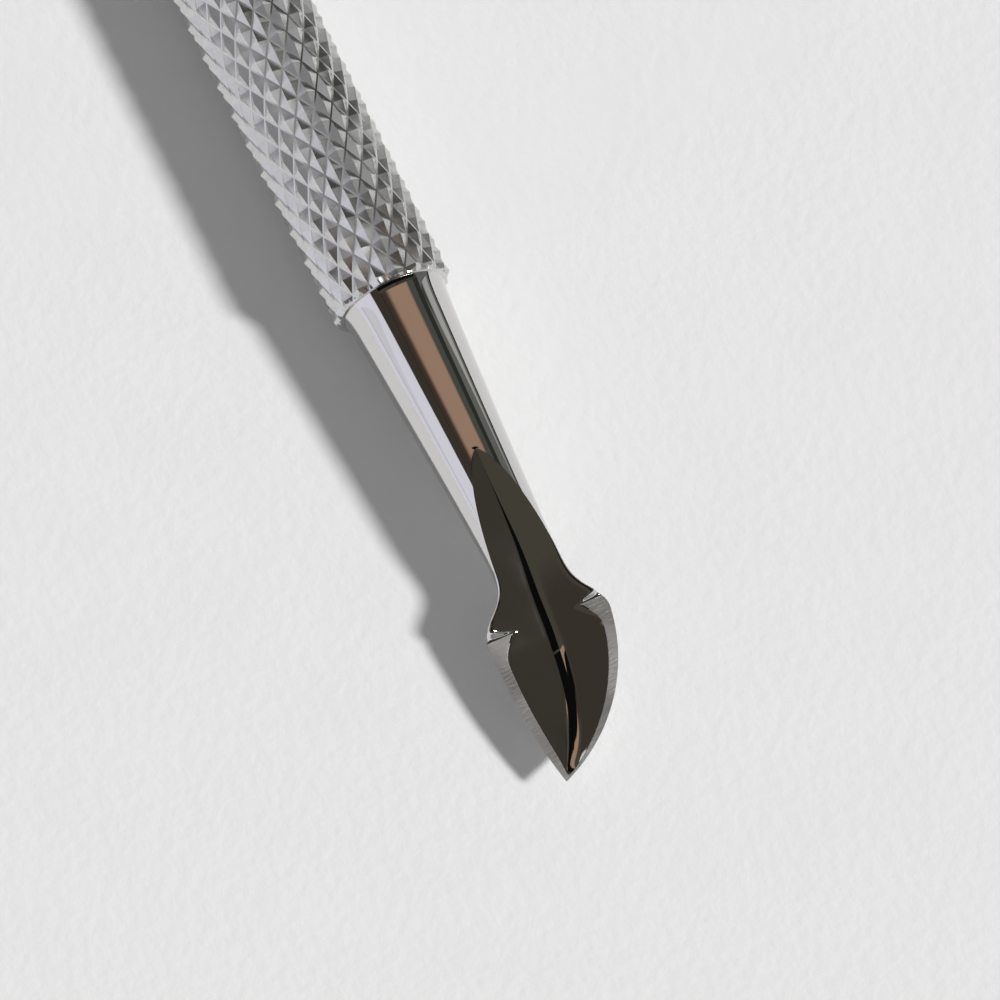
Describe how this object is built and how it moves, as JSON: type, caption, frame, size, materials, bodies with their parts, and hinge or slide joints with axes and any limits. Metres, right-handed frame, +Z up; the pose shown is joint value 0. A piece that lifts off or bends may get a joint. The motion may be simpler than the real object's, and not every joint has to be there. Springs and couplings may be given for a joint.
{
  "type": "cuticle pusher",
  "caption": "Double-ended cuticle pusher: diamond-knurled round steel handle, tapering necks, a hollow-ground asymmetric spade at one end and a cupped round spoon at the other.",
  "frame": {"origin": "under the middle of the handle, on the plane it lies on: the middle of the bounding box's bottom face", "axes": "+X along the tool's axis towards the spade, +Z up, out of the hollow faces of both ends"},
  "size_m": [0.128, 0.007, 0.0063],
  "materials": {
    "knurled_steel": "bright cut diamond knurl on stainless steel",
    "polished_steel": "mirror-polished stainless steel with matte ground edges"
  },
  "bodies": {
    "root": {"knurled_handle": "knurled_steel", "spade_end": "polished_steel", "spoon_end": "polished_steel"}
  },
  "joints": []
}
